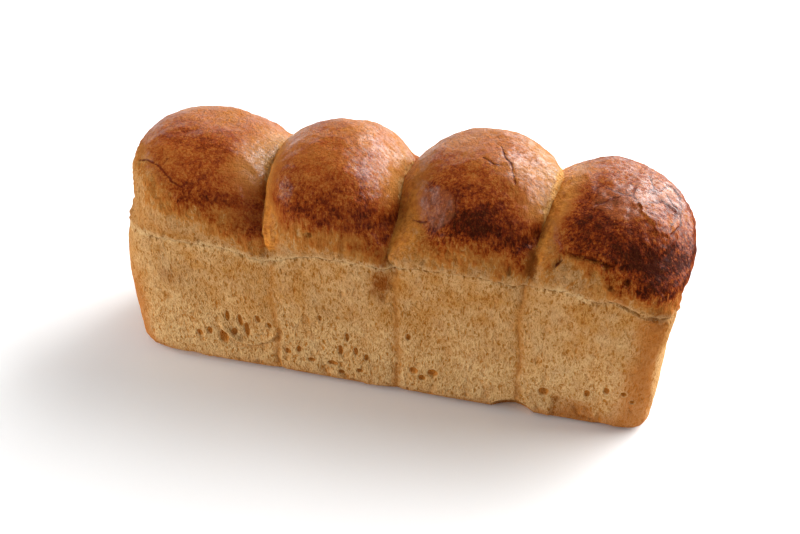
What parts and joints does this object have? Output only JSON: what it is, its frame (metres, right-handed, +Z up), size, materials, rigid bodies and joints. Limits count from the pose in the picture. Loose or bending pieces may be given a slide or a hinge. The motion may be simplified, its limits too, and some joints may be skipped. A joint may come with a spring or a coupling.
{
  "type": "tin loaf",
  "caption": "Whole uncut tin loaf of bread: a row of rounded, glossy brown domes over pale straight walls baked in a tin, with a flat base.",
  "frame": {"origin": "centre of the loaf's footprint, on the surface that the loaf stands on", "axes": "+X along the loaf from its left end to its right end, +Y across it from the front wall to the back wall, +Z up"},
  "size_m": [0.3802, 0.1297, 0.1717],
  "materials": {
    "crust": "satin"
  },
  "bodies": {
    "root": {"loaf": "crust"}
  },
  "joints": []
}
